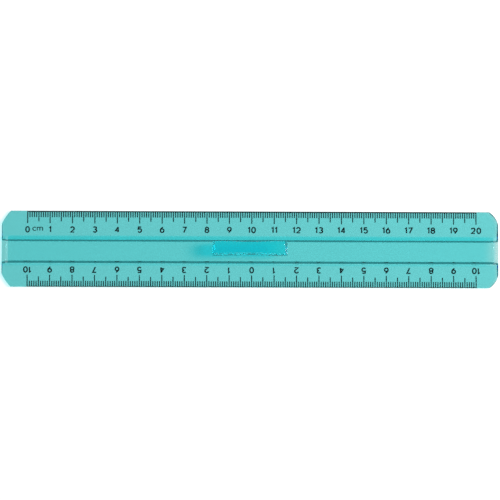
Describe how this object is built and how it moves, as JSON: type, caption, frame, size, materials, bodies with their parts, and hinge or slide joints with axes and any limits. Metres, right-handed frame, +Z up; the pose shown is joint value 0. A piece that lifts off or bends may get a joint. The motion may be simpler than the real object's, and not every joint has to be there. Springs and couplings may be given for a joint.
{
  "type": "flat ruler",
  "caption": "Flat see-through plastic ruler with a hollow middle rib, an upright finger grip, clipped corners and printed centimetre scales along both long edges.",
  "frame": {"origin": "middle of the underside, on the surface the ruler lies on", "axes": "+X along the ruler, the way the upper scale counts up; +Y towards the upper scale's edge; +Z up, out of the printed face"},
  "size_m": [0.2212, 0.034, 0.012],
  "materials": {
    "clear_teal_plastic": "clear tinted polystyrene, polished mould surface",
    "black_ink": "thin printed black ink, satin"
  },
  "bodies": {
    "root": {"lower_graduation": "black_ink", "lower_numeral_0": "black_ink", "lower_numeral_left_1": "black_ink", "lower_numeral_left_10_tens": "black_ink", "lower_numeral_left_10_units": "black_ink", "lower_numeral_left_2": "black_ink", "lower_numeral_left_3": "black_ink", "lower_numeral_left_4": "black_ink", "lower_numeral_left_5": "black_ink", "lower_numeral_left_6": "black_ink", "lower_numeral_left_7": "black_ink", "lower_numeral_left_8": "black_ink", "lower_numeral_left_9": "black_ink", "lower_numeral_right_1": "black_ink", "lower_numeral_right_10_tens": "black_ink", "lower_numeral_right_10_units": "black_ink", "lower_numeral_right_2": "black_ink", "lower_numeral_right_3": "black_ink", "lower_numeral_right_4": "black_ink", "lower_numeral_right_5": "black_ink", "lower_numeral_right_6": "black_ink", "lower_numeral_right_7": "black_ink", "lower_numeral_right_8": "black_ink", "lower_numeral_right_9": "black_ink", "ruler_body": "clear_teal_plastic", "unit_mark_c": "black_ink", "unit_mark_m": "black_ink", "upper_graduation": "black_ink", "upper_numeral_0": "black_ink", "upper_numeral_1": "black_ink", "upper_numeral_10_tens": "black_ink", "upper_numeral_10_units": "black_ink", "upper_numeral_11_tens": "black_ink", "upper_numeral_11_units": "black_ink", "upper_numeral_12_tens": "black_ink", "upper_numeral_12_units": "black_ink", "upper_numeral_13_tens": "black_ink", "upper_numeral_13_units": "black_ink", "upper_numeral_14_tens": "black_ink", "upper_numeral_14_units": "black_ink", "upper_numeral_15_tens": "black_ink", "upper_numeral_15_units": "black_ink", "upper_numeral_16_tens": "black_ink", "upper_numeral_16_units": "black_ink", "upper_numeral_17_tens": "black_ink", "upper_numeral_17_units": "black_ink", "upper_numeral_18_tens": "black_ink", "upper_numeral_18_units": "black_ink", "upper_numeral_19_tens": "black_ink", "upper_numeral_19_units": "black_ink", "upper_numeral_2": "black_ink", "upper_numeral_20_tens": "black_ink", "upper_numeral_20_units": "black_ink", "upper_numeral_3": "black_ink", "upper_numeral_4": "black_ink", "upper_numeral_5": "black_ink", "upper_numeral_6": "black_ink", "upper_numeral_7": "black_ink", "upper_numeral_8": "black_ink", "upper_numeral_9": "black_ink"}
  },
  "joints": []
}
